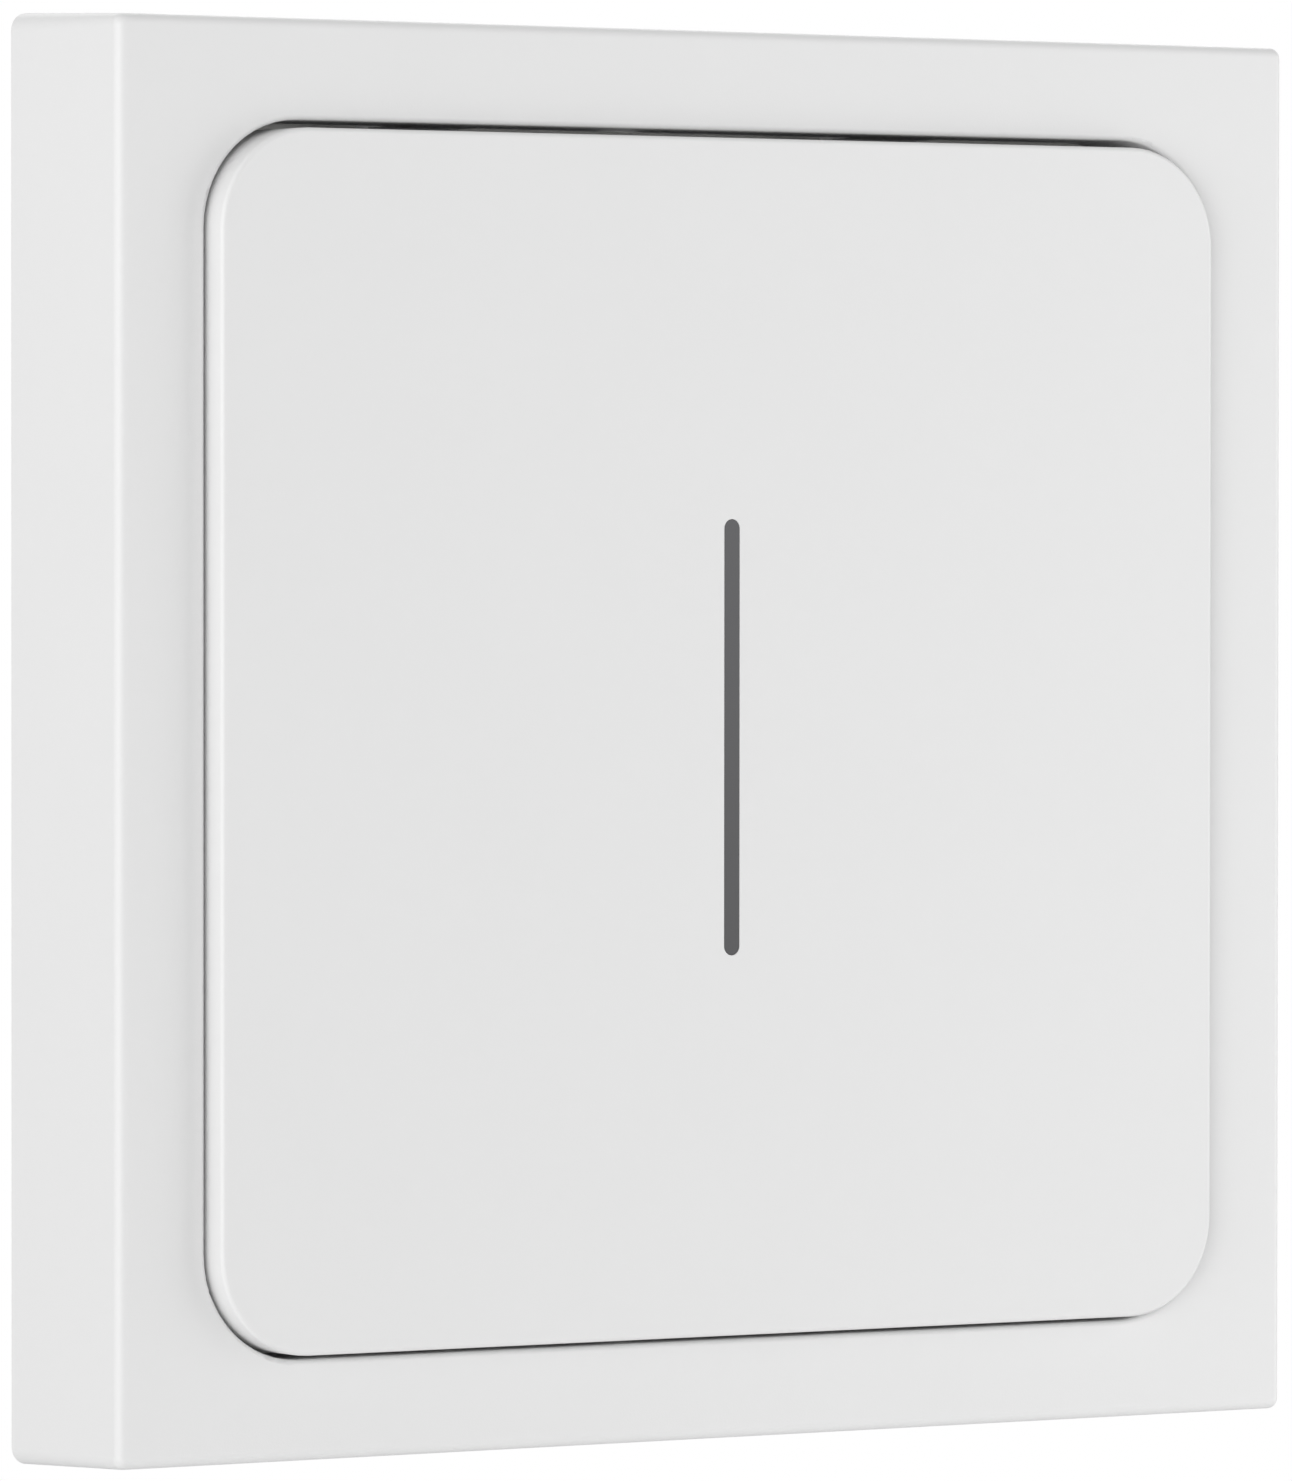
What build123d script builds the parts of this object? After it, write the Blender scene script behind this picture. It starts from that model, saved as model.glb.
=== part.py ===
from build123d import *
import math
import os

# The switch is drawn lying on its back: x to the right, y up the wall, z out of the wall, and z = 0 on the
# wall, in millimetres. The last lines stand it up, so that it faces -Y with +Z up.

# Push plate
plate_size = 68.0
plate_proud = 1.33
plate_skin = 1.8
plate_skirt = 4.5
plate_wall = 1.6
plate_corner_r = 5.72
plate_edge_r = 0.27

# Cover frame, which sits a little to the right and high on the carrier, within the play of its hooks
plate_gap = 0.38
frame_play_x = 0.12
frame_play_y = 0.08
frame_border = 5.62
frame_depth = 10.8
frame_draft = 0.4
frame_skin = 2.0
frame_wall = 1.9
frame_corner_r = 0.6
frame_edge_r = 0.55
opening_edge_r = 0.3
opening_wall = 1.5
opening_wall_length = 5.6
frame_rib_t = 1.0
frame_rib_height = 2.4
frame_rib_pitch = 17.0
hook_t = 1.3
hook_width = 6.0
hook_spacing = 32.0
hook_nub = 0.9
pry_notch_width = 8.0
pry_notch_height = 1.2

# Light bar and the channel behind it
lens_width = 1.0
lens_length = 24.7
lens_clear = 0.03
lens_flange_width = 3.2
lens_flange_margin = 2.7
lens_flange_t = 0.8
stake_r = 0.55
stake_clear = 0.06
stake_end = 0.15
shroud_width = 4.0
shroud_margin = 1.6
shroud_wall = 1.1
shroud_foot = 1.0
shroud_foot_t = 0.8
shroud_rock_gap = 0.75

# Support plate and its wall screws
support_t = 1.0
support_corner_r = 4.0
support_clear = 3.0
screw_spacing = 60.0
slot_width = 4.2
slot_length = 8.0
level_notch_r = 0.5
level_notch_spacing = 40.0

# Rocker carrier
carrier_side_gap = 0.5
carrier_wall = 1.2
carrier_corner_r = 3.6
roof_t = 1.2
rim_width = 1.7
rim_t = 1.4
rim_drop = 2.2
screw_head_room = 2.2
screw_head_width = 10.0
post_r = 3.0
carrier_screw_r = 1.2
carrier_screw_head_r = 2.2
carrier_screw_head_t = 1.4
carrier_seat_t = 4.2
screw_clear = 0.15
thread_clear = 0.05

# Trunnions
trunnion_r = 1.5
trunnion_clear = 0.05
trunnion_length = 1.7
ear_t = 1.7
ear_r = 2.4
ear_gap = 0.3
ear_mouth = 2.2

# Control board, with the space for parts between it and the carrier's roof
board_t = 1.0
board_margin = 5.0
board_chamfer = 5.0
board_gap = 0.4
component_space = 1.9
standoff_r = 1.6
standoff_pin_r = 0.9
standoff_inset_x = 5.5
standoff_inset_y = 9.5
fit_clear = 0.1

# Plungers, their springs and the snap domes
dome_r = 3.5
dome_height = 0.5
dome_t = 0.15
dome_margin = 0.2
stem_r = 1.5
stem_clear = 0.08
stem_lift = 0.1
barb_r = 2.0
barb_t = 0.35
cap_r = 3.0
cap_t = 0.6
cap_gap = 0.1
press_rib_height = 0.45
press_rib_width = 10.0
press_rib_t = 2.0
well_r = 3.3
well_wall = 1.0
well_drop = 0.9
well_floor_t = 0.7
spring_r = 2.5
spring_wire_r = 0.18
spring_turns = 3.5
spring_seat = 0.02

# Lights, controller and radio
led_count = 6
led_pitch = 4.0
led_size = (0.8, 1.6, 0.6)
chip_size = (6.0, 6.0, 0.9)
radio_size = (12.0, 15.0, 0.8)
shield_size = (10.0, 9.5, 1.0)

# Insert in the wall box
lid_t = 1.5
lid_lap = 1.2
puck_size = 47.0
puck_depth = 20.0
puck_wall = 1.5
puck_chamfer = 7.4
puck_edge_r = 0.8
puck_clear = 0.3
shoulder_t = 1.2
inner_gap = 0.3
power_board_z = -3.8
power_board_t = 1.2
boss_r = 2.4
boss_reach = 7.1
lid_screw_r = 1.0
lid_screw_head_r = 1.9
lid_screw_head_t = 0.9
lid_screw_length = 12.5
grip_count = 5
grip_pitch = 5.5
grip_width = 1.2
grip_proud = 0.4
vent_count = 6
vent_pitch = 3.8
vent_width = 1.4
vent_length = 7.0
panel_width = 24.0
panel_height = 13.0
panel_y = 4.0
panel_drop = 0.3
strip_gauge_length = 8.0
strip_gauge_width = 1.2
strip_gauge_y = -10.0

# Plug contacts between the two boards
contact_rows = 2
contact_columns = 5
contact_pitch = 2.0
contact_side = 0.64
contact_depth = 4.0
socket_margin = 0.9
header_x = -11.0
header_y = -9.0

# House wire terminals
terminal_count = 4
terminal_pitch = 6.5
wire_hole_r = 1.6
wire_collar_t = 0.5
wire_collar_margin = 1.5
cage_size = (5.6, 7.2, 8.0)
cage_wall = 1.4
barrier_t = 0.7
terminal_screw_r = 1.2
terminal_screw_head_r = 1.7
terminal_screw_head_t = 1.6
terminal_screw_reach = 2.0
tail_size = (1.2, 0.8)

# Parts on the power board
choke_r = 7.5
choke_bore_r = 4.0
choke_t = 6.0
choke_wire = 0.8
choke_turns = 16
choke_centre = (-10.5, 3.0)
film_size = (13.0, 6.0, 11.0)
film_centre = (9.0, 10.5)
bulk_r = 4.0
bulk_height = 11.0
bulk_centre = (5.0, 1.0)
fuse_r = 3.6
fuse_height = 7.0
fuse_centre = (14.5, -1.0)
spreader_t = 1.5
spreader_width = 25.0
spreader_height = 12.0
transistor_size = (8.0, 3.2, 10.8)
transistor_hole_r = 1.6
transistor_pitch = 12.0
lead_length = 2.0
lead_pitch = 2.3
lead_side = 0.7
round_over_square = 1.6

# Sizes that follow from those above
opening_size = plate_size + 2 * plate_gap
opening_half = opening_size / 2
opening_corner_r = plate_corner_r + plate_gap
frame_front = opening_size + 2 * frame_border
frame_back = frame_front + 2 * frame_draft
frame_taper = math.degrees(math.atan2(frame_draft, frame_depth))
skirt_inner = frame_back - 2 * frame_wall
face_z = frame_depth + plate_proud
inner_z = face_z - plate_skin
skirt_z = face_z - plate_skirt
lid_z = support_t + lid_t
board_z = lid_z + board_gap
board_top = board_z + board_t
roof_z = board_top + component_space
roof_top = roof_z + roof_t
pivot_z = roof_top
carrier_half = plate_size / 2 - plate_wall - carrier_side_gap
rim_top = roof_top - rim_drop
rim_z = rim_top - rim_t
rim_half = carrier_half + rim_width
post_xy = carrier_half - carrier_wall / 2 - post_r
board_half = carrier_half - carrier_wall - board_margin
pusher_y = board_half - dome_r - dome_margin
standoff_x = board_half - standoff_inset_x
standoff_y = board_half - standoff_inset_y
well_floor_top = roof_top - well_drop
cap_top = inner_z - press_rib_height - cap_gap
ear_x = carrier_half - ear_t
support_half = skirt_inner / 2 - support_clear
puck_half = puck_size / 2
cup_half = puck_half - puck_wall
board_back = power_board_z - power_board_t
boss_xy = puck_half - boss_reach
flange_z = inner_z - lens_flange_t
shroud_z = flange_z - shroud_rock_gap
cage_y = -cup_half + inner_gap + cage_size[1] / 2
cage_z = -puck_depth + puck_wall + inner_gap
cage_top = cage_z + cage_size[2]
clamp_z = cage_z + cage_size[2] / 2
tail_y = cage_y + cage_size[1] / 2 - tail_size[1]
spreader_y = cup_half - inner_gap - spreader_t
transistor_y = spreader_y - transistor_size[1] / 2
lead_top = board_back - lead_length
socket_size = (contact_columns * contact_pitch + socket_margin, contact_rows * contact_pitch + socket_margin)


def centred(count):
    """Whole steps for a row of things, counted from the row's middle."""
    return [i - (count - 1) / 2 for i in range(count)]


terminal_xs = [i * terminal_pitch for i in centred(terminal_count)]
contact_places = [
    (header_x + i * contact_pitch, header_y + j * contact_pitch)
    for i in centred(contact_columns)
    for j in centred(contact_rows)
]
lead_places = [
    (side * transistor_pitch / 2 + i * lead_pitch, transistor_y) for side in (-1, 1) for i in (-1, 0, 1)
]


def block(x, y, z):
    """A box between two limits on each axis."""
    centre = [(lo + hi) / 2 for lo, hi in (x, y, z)]
    return Pos(*centre) * Box(x[1] - x[0], y[1] - y[0], z[1] - z[0])


def disc(x, y, r, z_low, z_high):
    """A round bar along z."""
    return Pos(x, y, (z_low + z_high) / 2) * Cylinder(r, z_high - z_low)


def bar_x(y, z, r, x_low, x_high):
    """A round bar along x."""
    return Pos((x_low + x_high) / 2, y, z) * Rot(Y=90) * Cylinder(r, x_high - x_low)


def bar_y(x, z, r, y_low, y_high):
    """A round bar along y."""
    return Pos(x, (y_low + y_high) / 2, z) * Rot(X=90) * Cylinder(r, y_high - y_low)


def prism(outline, z_low, z_high, taper=0.0):
    """An outline pushed up from one height to another."""
    return extrude(Pos(0, 0, z_low) * outline, z_high - z_low, taper=taper)


def rounded(half, r):
    return RectangleRounded(2 * half, 2 * half, r)


def chamfered(half, cut):
    """A square outline with its corners cut off, as the insert has to pass a round wall box."""
    outline = Rectangle(2 * half, 2 * half)
    return chamfer(outline.vertices(), cut)


def corners(x, y):
    """Four mirrored places."""
    return [(x, y), (-x, y), (-x, -y), (x, -y)]


def all_sides(feature):
    """One feature on each of the four sides."""
    return [Rot(Z=90 * i) * feature for i in range(4)]


def joined(parts):
    """Touching parts made one solid."""
    whole = parts[0]
    for part in parts[1:]:
        whole = whole + part
    return whole


def group(parts):
    """Separate solids kept together."""
    return ShapeList(solid for part in parts for solid in part.solids())


def frame_hook(along):
    """A snap hook that drops from the opening's wall and catches under the carrier's rim."""
    catch_z = rim_z - fit_clear
    end_z = catch_z - hook_nub
    nub_x = opening_half - hook_nub - (opening_half - rim_half) + fit_clear
    top_z = frame_depth - opening_wall_length + hook_t / 2
    side = Polyline(
        (opening_half, top_z),
        (opening_half + hook_t, top_z),
        (opening_half + hook_t, end_z - hook_nub / 2),
        (opening_half, end_z - hook_nub / 2),
        (nub_x, catch_z - hook_nub / 3),
        (nub_x, catch_z),
        (opening_half, catch_z),
        close=True,
    )
    profile = Plane.XZ.offset(-along) * make_face(side)
    return extrude(profile, hook_width / 2, both=True)


def frame_corner_rib(skin_z):
    """A rib behind the skin, from the opening's rounded corner to the frame's own corner."""
    arc_centre = math.hypot(opening_half - opening_corner_r, opening_half - opening_corner_r)
    inner = arc_centre + opening_corner_r + opening_wall / 2
    outer = math.hypot(skirt_inner / 2, skirt_inner / 2) + frame_wall / 4
    rib = block(
        (inner, outer),
        (-frame_rib_t / 2, frame_rib_t / 2),
        (skin_z - frame_rib_height, skin_z + frame_skin / 4),
    )
    return Rot(Z=45) * rib


def cover_frame():
    body = prism(rounded(frame_back / 2, frame_corner_r + frame_draft), 0, frame_depth, frame_taper)
    body = fillet(body.faces().sort_by(Axis.Z)[-1].edges(), frame_edge_r)
    skin_z = frame_depth - frame_skin
    wall_end = frame_depth - opening_wall_length
    cavity = prism(rounded(skirt_inner / 2, frame_corner_r), 0, skin_z, frame_taper)
    cavity -= prism(rounded(opening_half + opening_wall, opening_corner_r + opening_wall), wall_end, skin_z)
    body -= cavity
    body -= prism(rounded(opening_half, opening_corner_r), -1, frame_depth + 1)
    front = body.faces().sort_by(Axis.Z)[-1]
    body = fillet(front.inner_wires()[0].edges(), opening_edge_r)
    ribs = [
        block(
            (opening_half + opening_wall / 2, skirt_inner / 2 + frame_wall / 4),
            (i * frame_rib_pitch - frame_rib_t / 2, i * frame_rib_pitch + frame_rib_t / 2),
            (skin_z - frame_rib_height, skin_z + frame_skin / 4),
        )
        for i in (-1, 0, 1)
    ]
    hooks = [frame_hook(side * hook_spacing / 2) for side in (-1, 1)]
    for feature in ribs + hooks + [frame_corner_rib(skin_z)]:
        body = joined([body] + all_sides(feature))
    pry_notch = block(
        (-pry_notch_width / 2, pry_notch_width / 2),
        (-frame_back / 2 - 1, -skirt_inner / 2 + 1),
        (-1, pry_notch_height),
    )
    return Pos(frame_play_x, frame_play_y, 0) * (body - pry_notch)


def plate_ear(side):
    """An ear behind the push plate with its trunnion pin, which snaps into the carrier's ear."""
    inner = ear_x - ear_gap - ear_t
    outer = ear_x - ear_gap
    ear = block((inner, outer), (-ear_r, ear_r), (pivot_z, inner_z + plate_skin / 4))
    ear += bar_x(0, pivot_z, ear_r, inner, outer)
    ear += bar_x(0, pivot_z, trunnion_r, outer, outer + trunnion_length)
    return ear if side > 0 else mirror(ear, Plane.YZ)


def rocker_plate():
    shell = prism(rounded(plate_size / 2, plate_corner_r), skirt_z, face_z)
    shell = fillet(shell.faces().sort_by(Axis.Z)[-1].edges(), plate_edge_r)
    shell -= prism(rounded(plate_size / 2 - plate_wall, plate_corner_r - plate_wall), skirt_z - 1, inner_z)
    slot = SlotOverall(lens_length + 2 * lens_clear, lens_width + 2 * lens_clear, rotation=90)
    shell -= prism(slot, inner_z - 1, face_z + 1)
    rib_x = plate_size / 4
    rib_y = plate_size / 2 - plate_wall / 2
    for side in (-1, 1):
        shell += plate_ear(side)
        shell += block(
            (-press_rib_width / 2, press_rib_width / 2),
            (side * pusher_y - press_rib_t / 2, side * pusher_y + press_rib_t / 2),
            (inner_z - press_rib_height, inner_z + plate_skin / 4),
        )
        shell += block(
            (side * rib_x - plate_wall / 3, side * rib_x + plate_wall / 3),
            (-rib_y, rib_y),
            (inner_z - plate_wall, inner_z + plate_skin / 4),
        )
        stake_y = side * (lens_length + lens_flange_margin) / 2
        shell += disc(0, stake_y, stake_r, flange_z - stake_end, inner_z + plate_skin / 4)
    return shell


def light_guide():
    bar = prism(SlotOverall(lens_length, lens_width, rotation=90), inner_z - lens_flange_t / 2, face_z)
    flange = SlotOverall(lens_length + 2 * lens_flange_margin, lens_flange_width, rotation=90)
    guide = bar + prism(flange, flange_z, inner_z)
    for side in (-1, 1):
        stake_y = side * (lens_length + lens_flange_margin) / 2
        guide -= disc(0, stake_y, stake_r + stake_clear, flange_z - 1, inner_z + 1)
    return guide


def carrier_ear(side):
    """An upright ear with a round seat for the trunnion and a narrower mouth to snap it in."""
    ear_top = pivot_z + ear_r - trunnion_r / 3
    ear = block((ear_x, carrier_half), (-ear_r - ear_gap, ear_r + ear_gap), (roof_z, ear_top))
    return ear if side > 0 else mirror(ear, Plane.YZ)


def trunnion_seat(side):
    """The space that the plate's ear needs in the carrier: a round seat with a mouth, and a window."""
    inner = ear_x - ear_gap
    outer = carrier_half + 1
    seat = bar_x(0, pivot_z, trunnion_r + trunnion_clear, inner, outer)
    seat += block((inner, outer), (-ear_mouth / 2, ear_mouth / 2), (pivot_z, pivot_z + 2 * ear_r))
    window_y = ear_r + ear_gap
    seat += block((inner - ear_t - ear_gap, ear_x), (-window_y, window_y), (roof_z - 1, roof_top + 1))
    return seat if side > 0 else mirror(seat, Plane.YZ)


def rocker_carrier():
    inner_half = carrier_half - carrier_wall
    tray = prism(rounded(carrier_half, carrier_corner_r), support_t, roof_top)
    tray += prism(rounded(rim_half, carrier_corner_r + rim_width), rim_z, rim_top)
    tray -= prism(rounded(inner_half, carrier_corner_r - carrier_wall), support_t - 1, roof_z)
    screw_room = block(
        (inner_half - 1, carrier_half + 1),
        (-screw_head_width / 2, screw_head_width / 2),
        (support_t - 1, min(support_t + screw_head_room, rim_z)),
    )
    for room in all_sides(screw_room):
        tray -= room
    pin_end = board_z - board_gap / 2
    for x, y in corners(standoff_x, standoff_y):
        tray += disc(x, y, standoff_r, board_top, roof_z + roof_t / 2)
        tray += disc(x, y, standoff_pin_r, pin_end, roof_z)
    seat_z = support_t + carrier_seat_t
    for x, y in corners(post_xy, post_xy):
        tray += disc(x, y, post_r, support_t, roof_top)
        tray -= disc(x, y, carrier_screw_r + screw_clear, support_t - 1, roof_top + 1)
        tray -= disc(x, y, carrier_screw_head_r + screw_clear, seat_z, roof_top + 1)
    for side in (-1, 1):
        tray += carrier_ear(side)
        tray -= trunnion_seat(side)
        y = side * pusher_y
        tray += disc(0, y, well_r + well_wall, well_floor_top - well_floor_t, roof_z + roof_t / 2)
        tray -= disc(0, y, well_r, well_floor_top, roof_top + 1)
        tray -= disc(0, y, stem_r + stem_clear, board_top, roof_top + 1)
    window_x = shroud_width / 2 + fit_clear
    window_y = lens_length / 2 + shroud_margin + fit_clear
    return tray - block((-window_x, window_x), (-window_y, window_y), (roof_z - 1, roof_top + 1))


def plunger(side):
    """A plunger with a barb below its guide and a cap that holds the spring."""
    y = side * pusher_y
    foot = board_top + dome_height + stem_lift
    body = disc(0, y, stem_r, foot, cap_top - cap_t / 2)
    body += disc(0, y, barb_r, foot, foot + barb_t)
    return body + disc(0, y, cap_r, cap_top - cap_t, cap_top)


def return_spring(side):
    """A coil between the well's floor and the plunger's cap, its round wire drawn with six sides."""
    low = well_floor_top + spring_wire_r + spring_seat
    high = cap_top - cap_t - spring_wire_r - spring_seat
    path = Helix(pitch=(high - low) / spring_turns, height=high - low, radius=spring_r)
    wire = Plane(origin=path @ 0, z_dir=path % 0) * RegularPolygon(spring_wire_r, 6)
    return Pos(0, side * pusher_y, low) * sweep(wire, path=path)


def snap_dome(side):
    """A thin metal dome that clicks flat when it is pressed."""
    bend_r = (dome_r**2 + dome_height**2) / (2 * dome_height)
    centre = Pos(0, side * pusher_y, board_top + dome_height - bend_r)
    cap = centre * Sphere(bend_r) - centre * Sphere(bend_r - dome_t)
    y = side * pusher_y
    return cap & block((-dome_r, dome_r), (y - dome_r, y + dome_r), (board_top, board_top + dome_height))


def control_board():
    board = prism(chamfered(board_half, board_chamfer), board_z, board_top)
    for x, y in contact_places:
        board -= disc(x, y, contact_side / 2 * round_over_square, board_z - 1, board_top + 1)
    for x, y in corners(standoff_x, standoff_y):
        board -= disc(x, y, standoff_pin_r + fit_clear, board_z - 1, board_top + 1)
    return board


def on_board(size, x, y, base):
    """A flat electronic part that stands on a board."""
    return Pos(x, y, base + size[2] / 2) * Box(*size)


def led_row():
    first = -(led_count - 1) / 2
    return group([on_board(led_size, 0, (first + i) * led_pitch, board_top) for i in range(led_count)])


def light_shroud():
    half_y = lens_length / 2 + shroud_margin
    tube = block((-shroud_width / 2, shroud_width / 2), (-half_y, half_y), (board_top, shroud_z))
    foot_x, foot_y = shroud_width / 2 + shroud_foot, half_y + shroud_foot
    tube += block((-foot_x, foot_x), (-foot_y, foot_y), (board_top, board_top + shroud_foot_t))
    inside_x = shroud_width / 2 - shroud_wall
    inside_y = half_y - shroud_wall
    return tube - block((-inside_x, inside_x), (-inside_y, inside_y), (board_top - 1, shroud_z + 1))


def support_plate():
    sheet = prism(rounded(support_half, support_corner_r), 0, support_t)
    opening = chamfered(puck_half + puck_clear, puck_chamfer)
    sheet -= prism(opening, -1, support_t + 1)
    for turn in range(4):
        place = Rot(Z=90 * turn) * Pos(screw_spacing / 2, 0, 0)
        sheet -= place * prism(SlotOverall(slot_length, slot_width), -1, support_t + 1)
        for side in (-1, 1):
            notch = disc(support_half, side * level_notch_spacing / 2, level_notch_r, -1, support_t + 1)
            sheet -= Rot(Z=90 * turn) * notch
    for x, y in corners(post_xy, post_xy):
        sheet -= disc(x, y, carrier_screw_r + thread_clear, -1, support_t + 1)
    return sheet


def grips():
    """Upright ribs on two sides of the insert, to hold it by."""
    ribs = [
        block(
            (puck_half - puck_wall / 2, puck_half + grip_proud),
            (i * grip_pitch - grip_width / 2, i * grip_pitch + grip_width / 2),
            (-puck_depth + 2 * puck_edge_r, -shoulder_t / 2),
        )
        for i in centred(grip_count)
    ]
    return [Rot(Z=turn) * rib for turn in (0, 180) for rib in ribs]


def wire_collar():
    """A low collar round the wire entries."""
    half_x = terminal_xs[-1] + wire_hole_r + wire_collar_margin
    half_y = wire_hole_r + wire_collar_margin
    outline = Pos(0, cage_y, 0) * RectangleRounded(2 * half_x, 2 * half_y, wire_collar_margin)
    return prism(outline, -puck_depth - wire_collar_t, -puck_depth + puck_wall / 4)


def back_recesses():
    """The plain sunk panel and the groove that shows how far to strip a wire."""
    sunk = (-puck_depth - 1, -puck_depth + panel_drop)
    panel = block(
        (-panel_width / 2, panel_width / 2),
        (panel_y - panel_height / 2, panel_y + panel_height / 2),
        sunk,
    )
    gauge = block(
        (-strip_gauge_length / 2, strip_gauge_length / 2),
        (strip_gauge_y - strip_gauge_width / 2, strip_gauge_y + strip_gauge_width / 2),
        sunk,
    )
    return panel + gauge


def insert_housing():
    cup = prism(chamfered(puck_half, puck_chamfer), -puck_depth, support_t)
    cup = fillet(cup.faces().sort_by(Axis.Z)[0].edges(), puck_edge_r)
    cup += prism(chamfered(puck_half + lid_lap, puck_chamfer), -shoulder_t, 0)
    cup = joined([cup, wire_collar()] + grips())
    cup -= back_recesses()
    floor_z = -puck_depth + puck_wall
    inside = prism(chamfered(cup_half, puck_chamfer - puck_wall / 2), floor_z, support_t + 1)
    cup -= inside
    barrier_xs = [i * terminal_pitch for i in range(-(terminal_count // 2) + 1, terminal_count // 2)]
    barriers = [
        block(
            (x - barrier_t / 2, x + barrier_t / 2),
            (-cup_half - puck_wall / 2, cage_y + cage_size[1] / 2),
            (floor_z - puck_wall / 2, cage_top),
        )
        for x in barrier_xs
    ]
    cup = joined([cup] + barriers)
    hole_end = lid_z - lid_screw_length - inner_gap
    for x, y in corners(boss_xy, boss_xy):
        cup += disc(x, y, boss_r, floor_z - puck_wall / 2, board_back)
        cup -= disc(x, y, lid_screw_r + thread_clear, hole_end, board_back + 1)
    vent_z = board_back - spreader_height / 2
    for x in [i * vent_pitch for i in centred(vent_count)]:
        cup -= block(
            (x - vent_width / 2, x + vent_width / 2),
            (cup_half - inner_gap / 2, puck_half + 1),
            (vent_z - vent_length / 2, vent_z + vent_length / 2),
        )
    for x in terminal_xs:
        funnel = Cone(wire_hole_r + wire_collar_t, wire_hole_r, wire_collar_t)
        cup -= Pos(x, cage_y, -puck_depth - wire_collar_t / 2) * funnel
        cup -= disc(x, cage_y, wire_hole_r, -puck_depth - 1, floor_z + inner_gap / 2)
        cup -= bar_y(x, clamp_z, terminal_screw_head_r + inner_gap, -puck_half - 1, -cup_half + inner_gap / 2)
    return cup


def socket_box(margin, z_low, z_high):
    """The header socket's outline, or the window that it needs."""
    x, y = [side / 2 + margin for side in socket_size]
    return block((header_x - x, header_x + x), (header_y - y, header_y + y), (z_low, z_high))


def insert_lid():
    lid = prism(chamfered(puck_half + lid_lap, puck_chamfer), support_t, lid_z)
    ring_half = cup_half - inner_gap
    ring = prism(chamfered(ring_half, puck_chamfer - puck_wall / 2), -shoulder_t, support_t + lid_t / 4)
    ring -= prism(chamfered(ring_half - puck_wall, puck_chamfer - puck_wall), -shoulder_t - 1, support_t)
    lid += ring
    for x, y in corners(boss_xy, boss_xy):
        lid += disc(x, y, boss_r, power_board_z, support_t + lid_t / 4)
        lid -= disc(x, y, lid_screw_r + screw_clear, power_board_z - 1, lid_z + 1)
        lid -= disc(x, y, lid_screw_head_r + screw_clear, lid_z - lid_screw_head_t, lid_z + 1)
    return lid - socket_box(inner_gap, -shoulder_t - 1, lid_z + 1)


def cross_slot(x, y, z_low, z_high, length, width):
    """The cross recess of a small screw."""
    cut = block((x - length / 2, x + length / 2), (y - width / 2, y + width / 2), (z_low, z_high))
    return cut + block((x - width / 2, x + width / 2), (y - length / 2, y + length / 2), (z_low, z_high))


def face_screw(x, y, head_top, head_t, head_r, shank_r, tip_z):
    """A screw that is driven from the front."""
    recess_z = head_top - head_t / 2
    screw = disc(x, y, head_r, head_top - head_t, head_top)
    screw += disc(x, y, shank_r, tip_z, recess_z)
    return screw - cross_slot(x, y, recess_z, head_top + 1, 1.3 * head_r, head_r / 4)


def lid_screws():
    head = (lid_z, lid_screw_head_t, lid_screw_head_r)
    tip = lid_z - lid_screw_length
    return group([face_screw(x, y, *head, lid_screw_r, tip) for x, y in corners(boss_xy, boss_xy)])


def carrier_screws():
    head = (support_t + carrier_seat_t + carrier_screw_head_t, carrier_screw_head_t, carrier_screw_head_r)
    tip = support_t / 10
    return group([face_screw(x, y, *head, carrier_screw_r, tip) for x, y in corners(post_xy, post_xy)])


def power_board():
    board = prism(chamfered(cup_half - inner_gap, puck_chamfer - puck_wall / 2), board_back, power_board_z)
    through = (board_back - 1, power_board_z + 1)
    for x, y in corners(boss_xy, boss_xy):
        board -= disc(x, y, lid_screw_r + screw_clear, *through)
    half_x, half_y = [side / 2 + fit_clear for side in tail_size]
    for x in terminal_xs:
        board -= block((x - half_x, x + half_x), (tail_y - half_y, tail_y + half_y), through)
    for x, y in lead_places:
        board -= disc(x, y, lead_side / 2 * round_over_square, *through)
    return board


def header_socket():
    top = lid_z - fit_clear
    body = socket_box(0, power_board_z, top)
    hole = contact_side / 2 + fit_clear
    for x, y in contact_places:
        body -= block((x - hole, x + hole), (y - hole, y + hole), (top - contact_depth, top + 1))
    return body


def header_pins():
    ends = (lid_z - contact_depth + fit_clear, board_top + board_gap)
    half = contact_side / 2
    return group([block((x - half, x + half), (y - half, y + half), ends) for x, y in contact_places])


def terminal_cage(x):
    """A wire cage with its wire way along z, a threaded lower wall and a tail soldered in the board."""
    half_x, half_y = cage_size[0] / 2, cage_size[1] / 2
    cage = block((x - half_x, x + half_x), (cage_y - half_y, cage_y + half_y), (cage_z, cage_top))
    way_x, way_y = half_x - cage_wall / 2, half_y - cage_wall
    way_z = (cage_z - 1, cage_top - cage_wall)
    cage -= block((x - way_x, x + way_x), (cage_y - way_y, cage_y + way_y), way_z)
    cage -= bar_y(x, clamp_z, terminal_screw_r + thread_clear, cage_y - half_y - 1, cage_y)
    tail_x, tail_half_y = tail_size[0] / 2, tail_size[1] / 2
    tail_z = (cage_top - cage_wall / 2, power_board_z + board_gap)
    return cage + block((x - tail_x, x + tail_x), (tail_y - tail_half_y, tail_y + tail_half_y), tail_z)


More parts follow.
